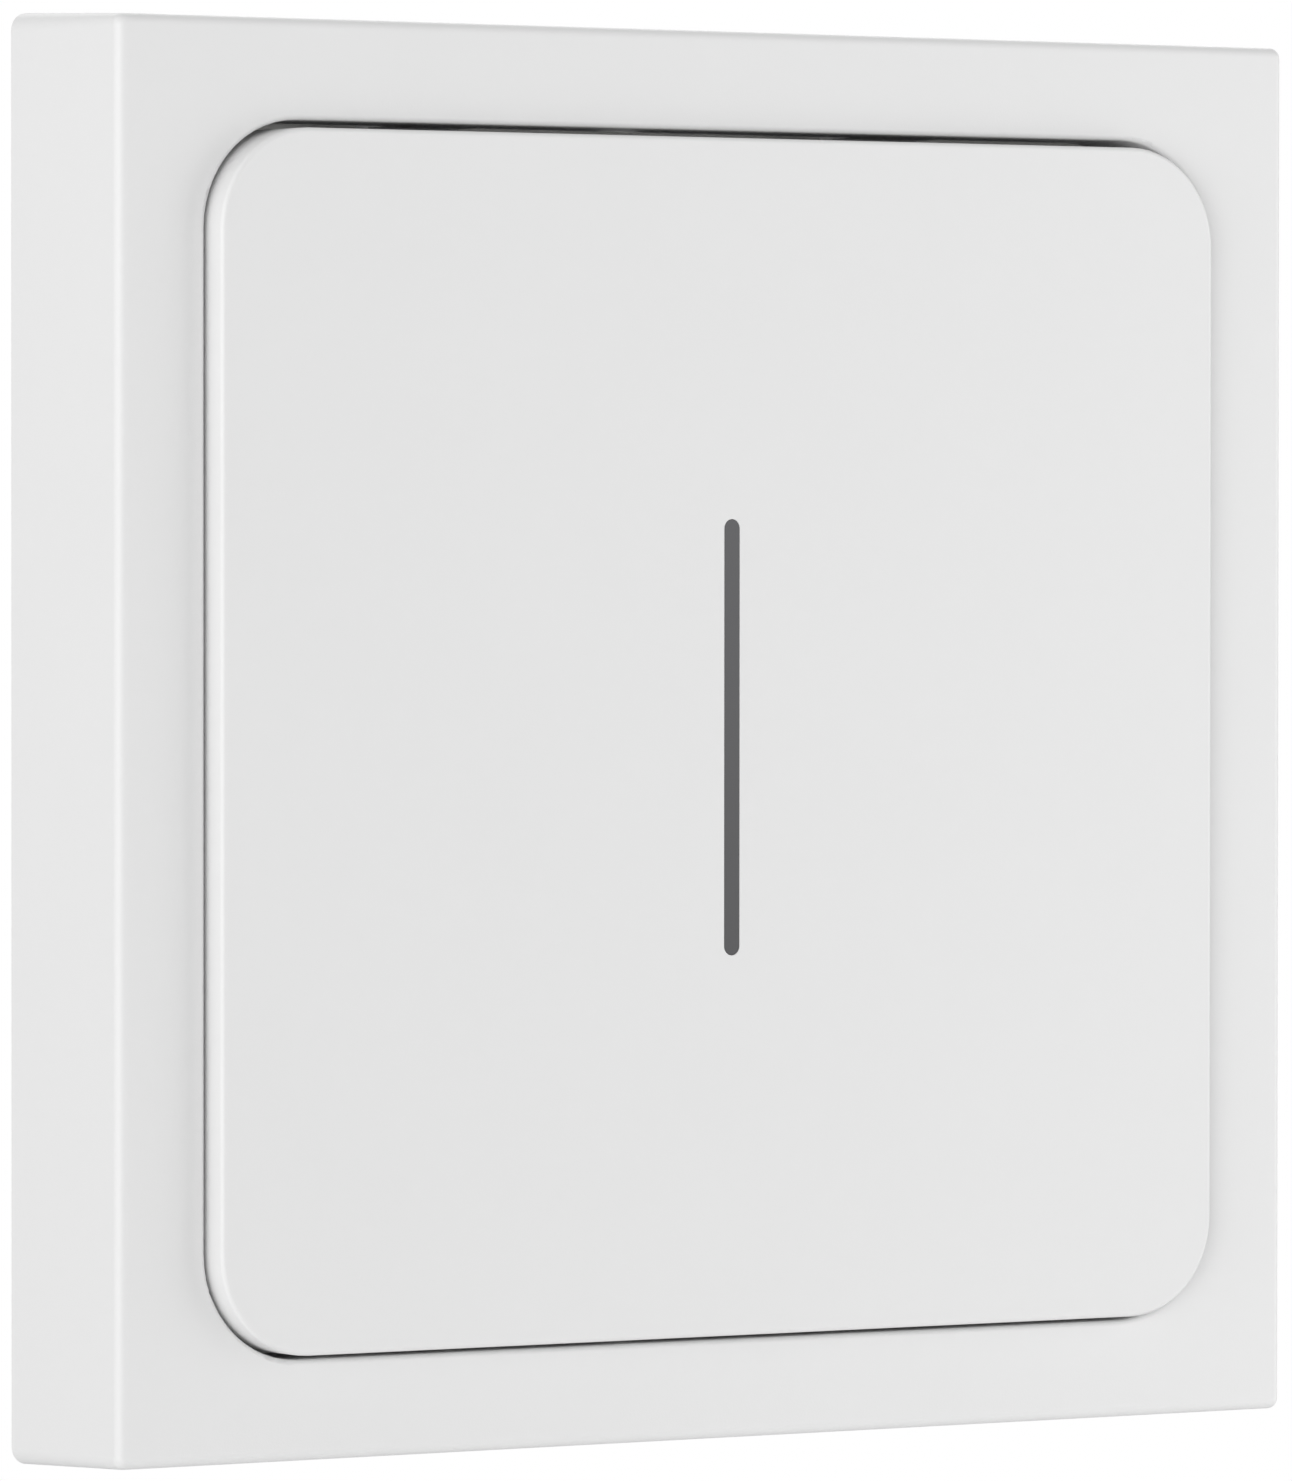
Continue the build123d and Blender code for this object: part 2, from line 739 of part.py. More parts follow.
def terminal_screw(x):
    """A clamp screw that is driven from below, through the housing's side."""
    seat_y = cage_y - cage_size[1] / 2 - inner_gap
    head_y = seat_y - terminal_screw_head_t
    slot_y = seat_y - terminal_screw_head_t / 2
    screw = bar_y(x, clamp_z, terminal_screw_head_r, head_y, seat_y)
    screw += bar_y(x, clamp_z, terminal_screw_r, slot_y, seat_y + terminal_screw_reach)
    slot_half = terminal_screw_head_r / 5
    slot_x = (x - terminal_screw_head_r, x + terminal_screw_head_r)
    return screw - block(slot_x, (head_y - 1, slot_y), (clamp_z - slot_half, clamp_z + slot_half))


def choke_front():
    return board_back - inner_gap - choke_wire


def choke_core():
    x, y = choke_centre
    top = choke_front() - inner_gap
    ring = disc(x, y, choke_r, top - choke_t, top) - disc(x, y, choke_bore_r, top - choke_t - 1, top + 1)
    return chamfer(ring.edges().filter_by(GeomType.CIRCLE), choke_wire / 2)


def choke_winding():
    """Separate turns of square wire round the ring's section."""
    x, y = choke_centre
    top = choke_front()
    low = top - choke_t - 2 * inner_gap
    inner = choke_bore_r - inner_gap
    outer = choke_r + inner_gap
    wire = (-choke_wire / 2, choke_wire / 2)
    turn = block((inner - choke_wire, outer + choke_wire), wire, (low - choke_wire, top + choke_wire))
    turn -= block((inner, outer), (-choke_wire, choke_wire), (low, top))
    return group([Pos(x, y, 0) * Rot(Z=360 * i / choke_turns) * turn for i in range(choke_turns)])


def film_capacitor():
    body = Pos(*film_centre, board_back - film_size[2] / 2) * Box(*film_size)
    return fillet(body.edges().filter_by(Axis.Z), film_size[1] / 8)


def bulk_capacitor():
    body = disc(*bulk_centre, bulk_r, board_back - bulk_height, board_back)
    return fillet(body.edges().filter_by(GeomType.CIRCLE).sort_by(Axis.Z)[0], bulk_r / 8)


def fuse():
    body = disc(*fuse_centre, fuse_r, board_back - fuse_height, board_back)
    return fillet(body.edges().filter_by(GeomType.CIRCLE).sort_by(Axis.Z)[0], fuse_r / 5)


def power_transistor(side):
    """A flat transistor against the heat spreader, with three leads through the board."""
    x = side * transistor_pitch / 2
    low = lead_top - transistor_size[2]
    body = Pos(x, transistor_y, (low + lead_top) / 2) * Box(*transistor_size)
    hole_z = low + transistor_size[2] / 3
    body -= bar_y(x, hole_z, transistor_hole_r, transistor_y - transistor_size[1], spreader_y)
    half = lead_side / 2
    for i in (-1, 0, 1):
        lead_x = x + i * lead_pitch
        body += block(
            (lead_x - half, lead_x + half),
            (transistor_y - half, transistor_y + half),
            (lead_top - lead_side, power_board_z + board_gap),
        )
    return body


def heat_spreader():
    return block(
        (-spreader_width / 2, spreader_width / 2),
        (spreader_y, spreader_y + spreader_t),
        (board_back - spreader_height, board_back - inner_gap),
    )


def radio_place():
    return board_half / 2, board_half / 4


def radio_module():
    return on_board(radio_size, *radio_place(), board_top)


def radio_shield():
    x, y = radio_place()
    offset = (radio_size[1] - shield_size[1]) / 2 - fit_clear
    can = on_board(shield_size, x, y - offset, board_top + radio_size[2])
    return fillet(can.edges().filter_by(Axis.Z), shield_size[2] / 2)


pieces = {
    "cover_frame": cover_frame(),
    "rocker_plate": rocker_plate(),
    "light_guide": light_guide(),
    "rocker_carrier": rocker_carrier(),
    "carrier_screws": carrier_screws(),
    "upper_pusher": plunger(1),
    "lower_pusher": plunger(-1),
    "upper_spring": return_spring(1),
    "lower_spring": return_spring(-1),
    "upper_dome": snap_dome(1),
    "lower_dome": snap_dome(-1),
    "control_board": control_board(),
    "led_row": led_row(),
    "light_shroud": light_shroud(),
    "controller_chip": on_board(chip_size, -board_half / 2, board_half / 3, board_top),
    "radio_module": radio_module(),
    "radio_shield": radio_shield(),
    "header_pins": header_pins(),
    "header_socket": header_socket(),
    "support_plate": support_plate(),
    "insert_housing": insert_housing(),
    "insert_lid": insert_lid(),
    "lid_screws": lid_screws(),
    "power_board": power_board(),
    "choke_core": choke_core(),
    "choke_winding": choke_winding(),
    "film_capacitor": film_capacitor(),
    "bulk_capacitor": bulk_capacitor(),
    "fuse": fuse(),
    "power_transistors": group([power_transistor(-1), power_transistor(1)]),
    "heat_spreader": heat_spreader(),
    "terminal_cages": group([terminal_cage(x) for x in terminal_xs]),
    "terminal_screws": group([terminal_screw(x) for x in terminal_xs]),
}

os.makedirs("parts", exist_ok=True)
for name, piece in pieces.items():
    upright = [Rot(X=90) * solid for solid in piece.solids()]
    export_step(upright[0] if len(upright) == 1 else Compound(children=upright), f"parts/{name}.step")
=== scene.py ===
import math

import bmesh
import bpy
from mathutils import Matrix, Vector


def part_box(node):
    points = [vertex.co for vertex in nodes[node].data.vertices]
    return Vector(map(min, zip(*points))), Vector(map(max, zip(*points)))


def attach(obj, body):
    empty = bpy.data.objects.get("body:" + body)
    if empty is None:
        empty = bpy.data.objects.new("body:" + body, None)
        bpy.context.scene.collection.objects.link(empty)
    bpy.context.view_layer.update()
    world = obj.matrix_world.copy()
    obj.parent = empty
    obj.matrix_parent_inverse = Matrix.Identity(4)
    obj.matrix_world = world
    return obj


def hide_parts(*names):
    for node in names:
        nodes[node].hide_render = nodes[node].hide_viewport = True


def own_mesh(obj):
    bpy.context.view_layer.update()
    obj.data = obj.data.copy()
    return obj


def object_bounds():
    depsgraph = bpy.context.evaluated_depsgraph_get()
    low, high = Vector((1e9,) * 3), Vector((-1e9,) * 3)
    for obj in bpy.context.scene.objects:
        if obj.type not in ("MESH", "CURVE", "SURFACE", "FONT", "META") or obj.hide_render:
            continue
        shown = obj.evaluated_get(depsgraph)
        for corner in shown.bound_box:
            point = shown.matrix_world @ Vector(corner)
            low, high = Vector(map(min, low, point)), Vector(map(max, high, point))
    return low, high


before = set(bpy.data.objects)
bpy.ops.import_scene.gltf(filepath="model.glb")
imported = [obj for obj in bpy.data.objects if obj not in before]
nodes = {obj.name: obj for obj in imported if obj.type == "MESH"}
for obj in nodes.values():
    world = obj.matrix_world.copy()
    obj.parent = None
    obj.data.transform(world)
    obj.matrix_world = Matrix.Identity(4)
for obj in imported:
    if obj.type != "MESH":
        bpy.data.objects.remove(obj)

scene = bpy.context.scene
cad_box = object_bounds()

# Camera
# The photograph was taken from the left of the plate and a little above its middle, with a long lens from
# about 65 cm away. The camera's place is given in its own directions: along its view, across it and up it.
view_yaw = math.radians(33.966)
view_pitch = math.radians(1.054)
view_roll = math.radians(0.037)
view_distance = 0.645086
view_across = 0.0018998
view_up = -0.0003677
film_height = 36.0
focal_length = 272.05

backward = Vector((
    -math.sin(view_yaw) * math.cos(view_pitch),
    -math.cos(view_yaw) * math.cos(view_pitch),
    math.sin(view_pitch),
))
level_right = Vector((math.cos(view_yaw), -math.sin(view_yaw), 0.0))
level_up = backward.cross(level_right)
camera_right = math.cos(view_roll) * level_right + math.sin(view_roll) * level_up
camera_up = math.cos(view_roll) * level_up - math.sin(view_roll) * level_right
camera_place = view_distance * backward + view_across * camera_right + view_up * camera_up

camera_data = bpy.data.cameras.new("photo_camera")
camera_data.lens = focal_length
camera_data.sensor_width = film_height
camera_data.clip_start = 0.01
camera_data.clip_end = 20.0
camera = bpy.data.objects.new("photo_camera", camera_data)
scene.collection.objects.link(camera)
turn = Matrix((camera_right, camera_up, backward)).transposed()
camera.matrix_world = Matrix.Translation(camera_place) @ turn.to_4x4()
scene.camera = camera

# Studio
# A white room with a pale table below the switch. Two large soft boxes stand to the left of the camera, a
# small one close by on the right, and one high up behind that lights only the back.
scene.view_settings.view_transform = "Standard"

room_light = 0.415
table_drop = 0.16
table_side = 1.2
lamp_drop = 0.05
soft_boxes = {
    "left_soft_box": {
        "azimuth": -80, "lift": 0, "distance": 1.2, "width": 0.6, "height": 0.9, "watts": 3.2},
    "front_left_soft_box": {
        "azimuth": -50, "lift": 0, "distance": 1.2, "width": 0.6, "height": 0.9, "watts": 7.8},
    "near_right_soft_box": {
        "azimuth": 62, "lift": 0, "distance": 0.385, "width": 0.25, "height": 0.5, "watts": 0.92},
    "rear_soft_box": {
        "azimuth": 150, "lift": 45, "distance": 1.2, "width": 0.9, "height": 0.9, "watts": 4.0},
}


def calc(tree, operation, first, second=0.0):
    """One step of arithmetic between numbers or sockets."""
    step = tree.nodes.new("ShaderNodeMath")
    step.operation = operation
    for place, value in enumerate((first, second)):
        if isinstance(value, (int, float)):
            step.inputs[place].default_value = value
        else:
            tree.links.new(value, step.inputs[place])
    return step.outputs[0]


def background(tree, strength):
    """Even white light of one strength."""
    light = tree.nodes.new("ShaderNodeBackground")
    light.inputs["Color"].default_value = (1.0, 1.0, 1.0, 1.0)
    light.inputs["Strength"].default_value = strength
    return light.outputs[0]


room = bpy.data.worlds.new("white_room")
room.use_nodes = True
scene.world = room
walls = room.node_tree
walls.nodes.clear()
ray = walls.nodes.new("ShaderNodeLightPath").outputs
seen = calc(walls, "MAXIMUM", ray["Is Camera Ray"], ray["Is Glossy Ray"])
seen = calc(walls, "MAXIMUM", seen, ray["Is Transmission Ray"])
chosen = walls.nodes.new("ShaderNodeMixShader")
room_out = walls.nodes.new("ShaderNodeOutputWorld")
walls.links.new(seen, chosen.inputs["Fac"])
walls.links.new(background(walls, room_light), chosen.inputs[1])
walls.links.new(background(walls, 1.0), chosen.inputs[2])
walls.links.new(chosen.outputs[0], room_out.inputs["Surface"])

for name, box in soft_boxes.items():
    data = bpy.data.lights.new(name, "AREA")
    data.shape = "RECTANGLE"
    data.size = box["width"]
    data.size_y = box["height"]
    data.energy = box["watts"]
    lamp = bpy.data.objects.new(name, data)
    scene.collection.objects.link(lamp)
    azimuth, lift = math.radians(box["azimuth"]), math.radians(box["lift"])
    level = Vector((math.sin(azimuth), -math.cos(azimuth), 0.0)) * math.cos(lift)
    place = (level + Vector((0.0, 0.0, math.sin(lift)))) * box["distance"] - Vector((0, 0, lamp_drop))
    lamp.matrix_world = Matrix.Translation(place) @ place.to_track_quat("Z", "Y").to_matrix().to_4x4()

table_mesh = bpy.data.meshes.new("pale_table")
table_height = cad_box[0][2] - table_drop
half_table = table_side / 2
table_ways = ((-1, -1), (1, -1), (1, 1), (-1, 1))
table_corners = [(x * half_table, y * half_table, table_height) for x, y in table_ways]
table_mesh.from_pydata(table_corners, [], [(0, 1, 2, 3)])
table = bpy.data.objects.new("pale_table", table_mesh)
scene.collection.objects.link(table)
table_paint = bpy.data.materials.new("pale_table")
table_paint.use_nodes = True
table_paint.node_tree.nodes["Principled BSDF"].inputs["Base Color"].default_value = (0.82, 0.82, 0.82, 1.0)
table_paint.node_tree.nodes["Principled BSDF"].inputs["Roughness"].default_value = 0.9
table_mesh.materials.append(table_paint)

# Cover frame
# One moulding in white plastic, with the fine satin texture of its mould all over. It is new and clean, so
# only the texture and a slight unevenness of the gloss change over it. The pins that pushed it out of the
# mould left round marks behind its skin.
mm = 0.001
frame_white = (0.80, 0.80, 0.80)
frame_channel = 37.2
frame_skin_back = 8.8
frame_pin_r = 0.9
frame_pin_pitch = 8.5
pin_mark_rise = 0.04


def effect(name, inputs, extra=()):
    """A shader node group with these inputs, which puts out a colour, a roughness and a height."""
    group = bpy.data.node_groups.new(name, "ShaderNodeTree")
    for label, value in inputs.items():
        kind = "NodeSocketColor" if isinstance(value, tuple) else "NodeSocketFloat"
        group.interface.new_socket(label, in_out="INPUT", socket_type=kind).default_value = value
    group.interface.new_socket("Colour", in_out="OUTPUT", socket_type="NodeSocketColor")
    for label in ("Roughness", "Height", *extra):
        group.interface.new_socket(label, in_out="OUTPUT", socket_type="NodeSocketFloat")
    return group, group.nodes.new("NodeGroupInput").outputs, group.nodes.new("NodeGroupOutput").inputs


def lumps(tree, size, detail, stretch=(1.0, 1.0, 1.0)):
    """Noise that is fixed to the piece, with lumps of this size in millimetres."""
    place = tree.nodes.new("ShaderNodeTexCoord")
    drawn = tree.nodes.new("ShaderNodeMapping")
    drawn.inputs["Scale"].default_value = stretch
    noise = tree.nodes.new("ShaderNodeTexNoise")
    noise.inputs["Detail"].default_value = detail
    tree.links.new(place.outputs["Object"], drawn.inputs["Vector"])
    tree.links.new(drawn.outputs["Vector"], noise.inputs["Vector"])
    tree.links.new(calc(tree, "DIVIDE", 1.0 / mm, size), noise.inputs["Scale"])
    return noise.outputs["Fac"]


def varied(tree, value, noise, amount):
    """A value that the noise moves up and down by half the amount."""
    change = calc(tree, "MULTIPLY", calc(tree, "SUBTRACT", noise, 0.5), amount)
    return calc(tree, "ADD", change, value)


def toned(tree, colour, tone):
    """A colour made lighter or darker."""
    changed = tree.nodes.new("ShaderNodeHueSaturation")
    tree.links.new(colour, changed.inputs["Color"])
    tree.links.new(tone, changed.inputs["Value"])
    return changed.outputs["Color"]


moulded_texture, given, result = effect("moulded_texture", {
    "Colour": (0.8, 0.8, 0.8, 1.0), "Tone change": 0.012, "Roughness": 0.42, "Roughness change": 0.05,
    "Grain size": 0.12, "Cloud size": 9.0})
cloud = lumps(moulded_texture, given["Cloud size"], 3.0)
clouded = toned(moulded_texture, given["Colour"], varied(moulded_texture, 1.0, cloud, given["Tone change"]))
gloss = varied(moulded_texture, given["Roughness"], cloud, given["Roughness change"])
moulded_texture.links.new(clouded, result["Colour"])
moulded_texture.links.new(gloss, result["Roughness"])
moulded_texture.links.new(lumps(moulded_texture, given["Grain size"], 2.0), result["Height"])


def finished(name, group, given, relief, shader=None):
    """A material: what its effect is given, its relief in millimetres and what its shader is given."""
    material = bpy.data.materials.new(name)
    material.use_nodes = True
    tree = material.node_tree
    surface = tree.nodes["Principled BSDF"]
    for socket, value in (shader or {}).items():
        surface.inputs[socket].default_value = value
    look = tree.nodes.new("ShaderNodeGroup")
    look.node_tree = group
    for socket, value in given.items():
        look.inputs[socket].default_value = (*value, 1.0) if isinstance(value, tuple) else value
    bump = tree.nodes.new("ShaderNodeBump")
    bump.inputs["Distance"].default_value = relief * mm
    tree.links.new(look.outputs["Colour"], surface.inputs["Base Color"])
    tree.links.new(look.outputs["Roughness"], surface.inputs["Roughness"])
    tree.links.new(look.outputs["Height"], bump.inputs["Height"])
    tree.links.new(bump.outputs["Normal"], surface.inputs["Normal"])
    if "Metallic" in look.outputs:
        tree.links.new(look.outputs["Metallic"], surface.inputs["Metallic"])
    return material


def dress(material, *names):
    """Gives CAD pieces their finish."""
    for name in names:
        for slot in nodes[name].material_slots:
            slot.material = material


def add_piece(name, mesh, material, body="mounted_parts"):
    """A modelled piece on its body, smooth over its curves and sharp at its edges."""
    made = bpy.data.objects.new(name, mesh)
    scene.collection.objects.link(made)
    mesh.materials.append(material)
    mesh.polygons.foreach_set("use_smooth", [True] * len(mesh.polygons))
    mesh.set_sharp_from_angle(angle=math.radians(38))
    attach(made, body)
    return made


def spot(across, up, out):
    """A place on the switch: across it to the right, up the wall and out of the wall, in millimetres."""
    return Vector((across, -out, up)) * mm


def stacked(name, stacks, material, body="mounted_parts"):
    """Closed shapes, each from rings of points that lie one above the other."""
    shape = bmesh.new()
    for stack in stacks:
        rings = [[shape.verts.new(point) for point in ring] for ring in stack]
        for low, high in zip(rings, rings[1:]):
            for i in range(len(low)):
                shape.faces.new((low[i - 1], low[i], high[i], high[i - 1]))
        shape.faces.new(rings[0])
        shape.faces.new(rings[-1])
    bmesh.ops.recalc_face_normals(shape, faces=shape.faces)
    mesh = bpy.data.meshes.new(name)
    shape.to_mesh(mesh)
    shape.free()
    return add_piece(name, mesh, material, body)


def turned(name, spots, profile, material, facing=1, sides=24, body="mounted_parts"):
    """A round shape at each spot, from pairs of radius and height, facing the room (1) or the wall (-1)."""
    around = [2 * math.pi * i / sides for i in range(sides)]
    stacks = []
    for x, y, z in spots:
        stacks.append([
            [spot(x + r * math.cos(a), y + r * math.sin(a), z + facing * rise) for a in around]
            for r, rise in profile
        ])
    return stacked(name, stacks, material, body)


def pin_mark(r, rise):
    """The low round land with a soft rim that a mould's pin leaves."""
    return [(r, -rise), (r, rise / 2), (0.94 * r, rise), (0.8 * r, rise / 2), (0.02 * r, rise / 2)]


white = {"Colour": frame_white}
soft_gloss = {"Specular IOR Level": 0.3}
white_plastic = finished("white_plastic", moulded_texture, white, relief=0.004, shader=soft_gloss)
dress(white_plastic, "cover_frame")

frame_pins = []
for step in (-2.5, -0.5, 0.5, 2.5):
    along = step * frame_pin_pitch
    for side in (frame_channel, -frame_channel):
        frame_pins += [(along, side, frame_skin_back), (side, along, frame_skin_back)]
turned(
    "frame_pin_marks", frame_pins, pin_mark(frame_pin_r, pin_mark_rise), white_plastic,
    facing=-1)

# Push plate
# The same white plastic as the frame, from a mould with the same texture, so the two can't be told apart.
# It snaps into the carrier's ears and stands proud of the frame; in the switch it rocks a little up and
# down, but here it stands still.
bar_flange_t = 0.8
plate_pin_r = 1.2
plate_pin_columns = (-24.5, -9.0, 9.0, 24.5)
plate_pin_rows = (-27.5, -9.5, 9.5, 27.5)

dress(white_plastic, "rocker_plate")
plate_inside = -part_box("light_guide")[1].y / mm + bar_flange_t
plate_pins = [(x, y, plate_inside) for x in plate_pin_columns for y in plate_pin_rows]
turned(
    "plate_pin_marks", plate_pins, pin_mark(plate_pin_r, pin_mark_rise), white_plastic,
    facing=-1, body="push_plate")

# Light bar
# A slim bar of smoke grey plastic, pressed into the plate from behind and flush with its face. While the
# lights behind it are off it is plain dark grey; a painted shade makes it a little darker towards its lower
# end.
haze_size = 2.5
polish_size = 0.15
smoke_plastic, given, result = effect("smoke_plastic", {
    "Colour": (0.085, 0.085, 0.089, 1.0), "Shaded lower tone": 0.78, "Half length": 12.35, "Roughness": 0.34})
place = smoke_plastic.nodes.new("ShaderNodeTexCoord")
heights = smoke_plastic.nodes.new("ShaderNodeSeparateXYZ")
smoke_plastic.links.new(place.outputs["Object"], heights.inputs["Vector"])
# Painted shade: the bar's colour darkens from its full tone at the top to the lower tone at its lower end.
full_length = calc(smoke_plastic, "MULTIPLY", given["Half length"], 2 * mm)
up_share = calc(smoke_plastic, "ADD", calc(smoke_plastic, "DIVIDE", heights.outputs["Z"], full_length), 0.5)
painted_shade_fade = calc(smoke_plastic, "MULTIPLY", calc(smoke_plastic, "SUBTRACT", 1.0, given["Shaded lower tone"]), up_share)
tone = calc(smoke_plastic, "ADD", painted_shade_fade, given["Shaded lower tone"])
smoke_plastic.links.new(toned(smoke_plastic, given["Colour"], tone), result["Colour"])
haze = lumps(smoke_plastic, haze_size, 3.0)
smoke_plastic.links.new(varied(smoke_plastic, given["Roughness"], haze, 0.05), result["Roughness"])
smoke_plastic.links.new(lumps(smoke_plastic, polish_size, 2.0), result["Height"])
dress(finished("smoke_grey", smoke_plastic, {}, relief=0.002), "light_guide")

# Rocker carrier and its screws
# A grey moulded tray, plainer and rougher than what shows from the front, held on the support plate by four
# zinc plated screws with rolled threads.
thread_crest_r = 0.13
carrier_thread_pitch = 0.8
carrier_shank_r = 1.2
carrier_head_r = 2.2
carrier_head_t = 1.4


def wire(name, paths, radius, material, body="mounted_parts"):
    """Round wire along one or more paths, as one mesh."""
    route = bpy.data.curves.new(name, "CURVE")
    route.dimensions = "3D"
    route.bevel_depth = radius * mm
    route.bevel_resolution = 2
    route.use_fill_caps = True
    for path in paths:
        line = route.splines.new("POLY")
        line.points.add(len(path) - 1)
        for point, place in zip(line.points, path):
            point.co = (*place, 1.0)
    drawn = bpy.data.objects.new(name, route)
    return add_piece(name, bpy.data.meshes.new_from_object(drawn), material, body)


def thread_path(start, along, length, r, pitch):
    """The line of a thread's crest round a shank, which runs out into the shank at its end."""
    along = Vector(along)
    across = along.orthogonal().normalized()
    third = along.cross(across)
    steps = max(2, int(16 * length / pitch))
    path = []
    for i in range(steps + 1):
        share = i / steps
        angle = 2 * math.pi * length / pitch * share
        crest = r - thread_crest_r * (0.4 + max(0.0, share - 0.9) * 6.0)
        outward = math.cos(angle) * across + math.sin(angle) * third
        path.append(start + along * length * share * mm + outward * crest * mm)
    return path


def screw_starts(node, head_r, head_t):
    """Where the shanks of four screws in the corners leave their heads."""
    low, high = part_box(node)
    columns = (low.x + head_r * mm, high.x - head_r * mm)
    rows = (low.z + head_r * mm, high.z - head_r * mm)
    return [Vector((x, low.y + head_t * mm, z)) for x in columns for z in rows]


def faces_sideways(tree):
    """1 where the surface is the cut edge of a sheet that lies flat on the wall, and 0 on its faces."""
    facing = tree.nodes.new("ShaderNodeTexCoord")
    parts = tree.nodes.new("ShaderNodeSeparateXYZ")
    tree.links.new(facing.outputs["Normal"], parts.inputs["Vector"])
    return calc(tree, "LESS_THAN", calc(tree, "ABSOLUTE", parts.outputs["Y"]), 0.5)


grey = {
    "Colour": (0.16, 0.165, 0.175), "Roughness": 0.55, "Tone change": 0.05, "Roughness change": 0.08,
    "Grain size": 0.2}
dress(finished("grey_plastic", moulded_texture, grey, relief=0.010), "rocker_carrier")

rolled_metal, given, result = effect("rolled_metal", {
    "Colour": (0.62, 0.62, 0.60, 1.0), "Tone change": 0.16, "Roughness": 0.34, "Roughness change": 0.16,
    "Line size": 0.12, "Blotch size": 5.0, "Edge dulling": 0.0})
streak = lumps(rolled_metal, given["Line size"], 2.0, stretch=(0.04, 1.0, 1.0))
blotch = lumps(rolled_metal, given["Blotch size"], 5.0)
dull = calc(rolled_metal, "MULTIPLY", faces_sideways(rolled_metal), given["Edge dulling"])
tone = varied(rolled_metal, calc(rolled_metal, "SUBTRACT", 1.0, dull), blotch, given["Tone change"])
rough = calc(rolled_metal, "ADD", given["Roughness"], dull)
rough = varied(rolled_metal, rough, streak, given["Roughness change"])
rolled_metal.links.new(toned(rolled_metal, given["Colour"], tone), result["Colour"])
rolled_metal.links.new(varied(rolled_metal, rough, blotch, given["Roughness change"]), result["Roughness"])
rolled_metal.links.new(streak, result["Height"])

metal = {"Metallic": 1.0}
zinc = {"Colour": (0.55, 0.54, 0.52), "Roughness": 0.28, "Blotch size": 1.2, "Line size": 0.06}
screw_steel = finished("screw_steel", rolled_metal, zinc, relief=0.003, shader=metal)
dress(screw_steel, "carrier_screws")
low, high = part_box("carrier_screws")
carrier_thread_length = (high.y - low.y) / mm - carrier_head_t
wire("carrier_screw_threads", [
    thread_path(start, (0, 1, 0), carrier_thread_length, carrier_shank_r, carrier_thread_pitch)
    for start in screw_starts("carrier_screws", carrier_head_r, carrier_head_t)
], thread_crest_r, screw_steel)

# Plungers, springs and snap domes
# Two small plungers of natural nylon pass the plate's travel on to stamped domes on the board. Round each
# is a coil spring of steel wire with closed end turns. In the switch the plungers move and the springs and
# domes give; here all stand at rest.
spring_wire_r = 0.18
spring_turns = 3.5
closed_turns = 0.6
dome_sheet = 0.12

nylon = {"Colour": (0.62, 0.61, 0.57), "Roughness": 0.38, "Tone change": 0.03}
translucent = {"Subsurface Weight": 0.2}
natural_nylon = finished("natural_nylon", moulded_texture, nylon, relief=0.004, shader=translucent)
dress(natural_nylon, "upper_pusher", "lower_pusher")
bright = {"Colour": (0.66, 0.66, 0.66), "Roughness": 0.2, "Blotch size": 0.8}
spring_steel = finished("spring_steel", rolled_metal, bright, relief=0.002, shader=metal)


def coil_rise(share):
    """How far along the spring its wire has come, with the end turns lying closed."""
    flat = closed_turns / spring_turns
    open_share = min(1.0, max(0.0, (share - flat / 2) / (1.0 - flat)))
    return 0.04 * share + 0.96 * open_share


for side in ("upper", "lower"):
    low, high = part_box(f"{side}_spring")
    middle = (low + high) / 2
    coil_r = (high.x - low.x) / 2 - spring_wire_r * mm
    rise = high.y - low.y - 2 * spring_wire_r * mm
    steps = int(40 * spring_turns)
    coil = []
    for i in range(steps + 1):
        angle = 2 * math.pi * spring_turns * i / steps
        depth = high.y - spring_wire_r * mm - rise * coil_rise(i / steps)
        across, up = middle.x + coil_r * math.cos(angle), middle.z + coil_r * math.sin(angle)
        coil.append(Vector((across, depth, up)))
    spring = wire(f"{side}_spring_coil", [coil], spring_wire_r, spring_steel)
    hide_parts(f"{side}_spring")
    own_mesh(spring)

    low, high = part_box(f"{side}_dome")
    dome_r, dome_h = (high.x - low.x) / 2 / mm, (high.y - low.y) / mm
    quarter = [math.pi / 2 * t for t in (0.0, 0.2, 0.4, 0.6, 0.8, 0.99)]
    outside = [(dome_r * math.cos(a), dome_h * math.sin(a)) for a in quarter]
    inside = [(max(0.05, r - dome_sheet), max(0.0, h - dome_sheet)) for r, h in reversed(outside)]
    dome = turned(
        f"{side}_snap_dome", [((low.x + high.x) / 2 / mm, (low.z + high.z) / 2 / mm, -high.y / mm)],
        outside + inside, spring_steel, sides=36)
    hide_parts(f"{side}_dome")
    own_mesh(dome)

# Control board
# A green glass fibre board with copper tracks under its solder mask, and the pale cut edge of the laminate.
# The plug pins are soldered at its front, where small ceramic parts, a crystal and a regulator stand too.
pin_pitch = 2.0
solder_r = 0.8
solder_rise = 0.38
contact_ring_width = 0.45
contact_ring_t = 0.035
led_pitch = 4.0
led_count = 6
small_part = (1.6, 0.8, 0.45)
small_end = 0.3
crystal_size = (3.2, 2.5, 0.7)
regulator_size = (3.0, 1.5, 1.1)
beside_chip = 2.2
beyond_chip = 3.2
beside_lights = 6.2
resistor_columns = (8.5, 11.5, 14.5)
resistor_rows = (-6.0, -9.0)
spare_capacitors = [(9.0, -13.0), (12.5, -13.0)]
regulator_place = (-18.5, -2.5)


def mixed(tree, first, second, share):
    """One colour laid over another where the share is 1."""
    blend = tree.nodes.new("ShaderNodeMix")
    blend.data_type = "RGBA"
    tree.links.new(share, blend.inputs[0])
    tree.links.new(first, blend.inputs[6])
    tree.links.new(second, blend.inputs[7])
    return blend.outputs[2]


